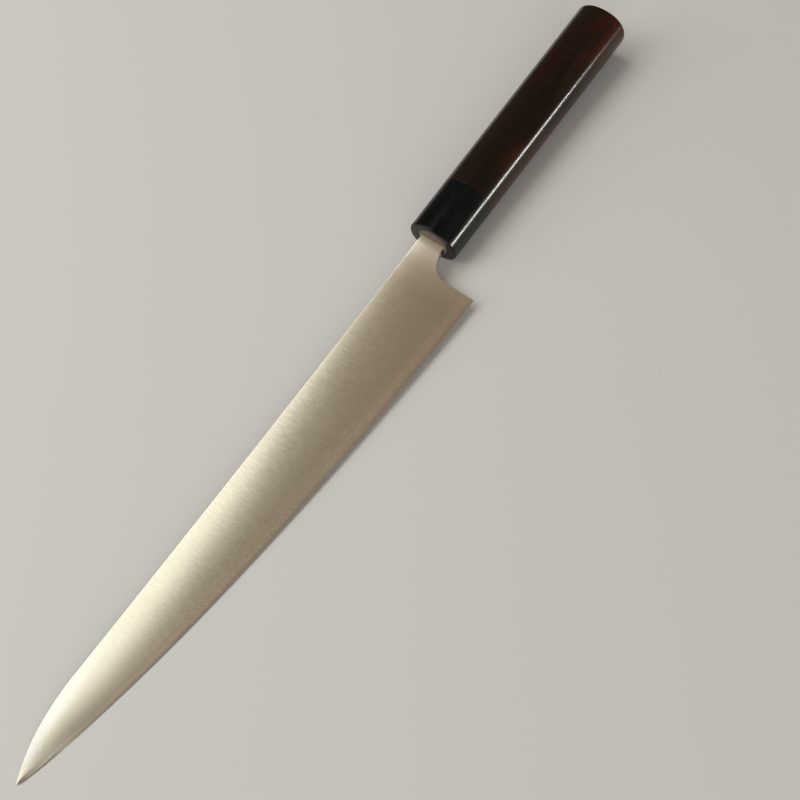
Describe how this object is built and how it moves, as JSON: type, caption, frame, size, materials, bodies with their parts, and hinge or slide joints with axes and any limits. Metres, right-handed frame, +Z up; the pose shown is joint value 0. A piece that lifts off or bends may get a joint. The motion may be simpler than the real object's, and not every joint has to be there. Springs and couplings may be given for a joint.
{
  "type": "slicing knife",
  "caption": "Long, slender slicing knife with a laminated steel blade, a finger notch behind the heel and an oval wooden handle with a dark horn ferrule, lying on its right side.",
  "frame": {"origin": "centre of the bounding box's floor plane, on the flat surface that the knife lies on", "axes": "+X from the tip to the butt, +Y from the cutting edge to the spine, +Z up, out of the blade's left face"},
  "size_m": [0.4246, 0.0436, 0.0267],
  "materials": {
    "core_steel": "satin, ground",
    "cladding_left": "satin with fine scratches across the blade",
    "cladding_right": "satin with fine scratches across the blade",
    "ferrule": "polished dark horn",
    "handle_body": "oiled rosewood, satin",
    "tenon_dowel": "pale end grain, matt",
    "slot_seal": "amber resin"
  },
  "bodies": {
    "root": {"core_steel": "core_steel", "cladding_left": "cladding_left", "cladding_right": "cladding_right", "ferrule": "ferrule", "handle_body": "handle_body", "tenon_dowel": "tenon_dowel", "slot_seal": "slot_seal"}
  },
  "joints": []
}
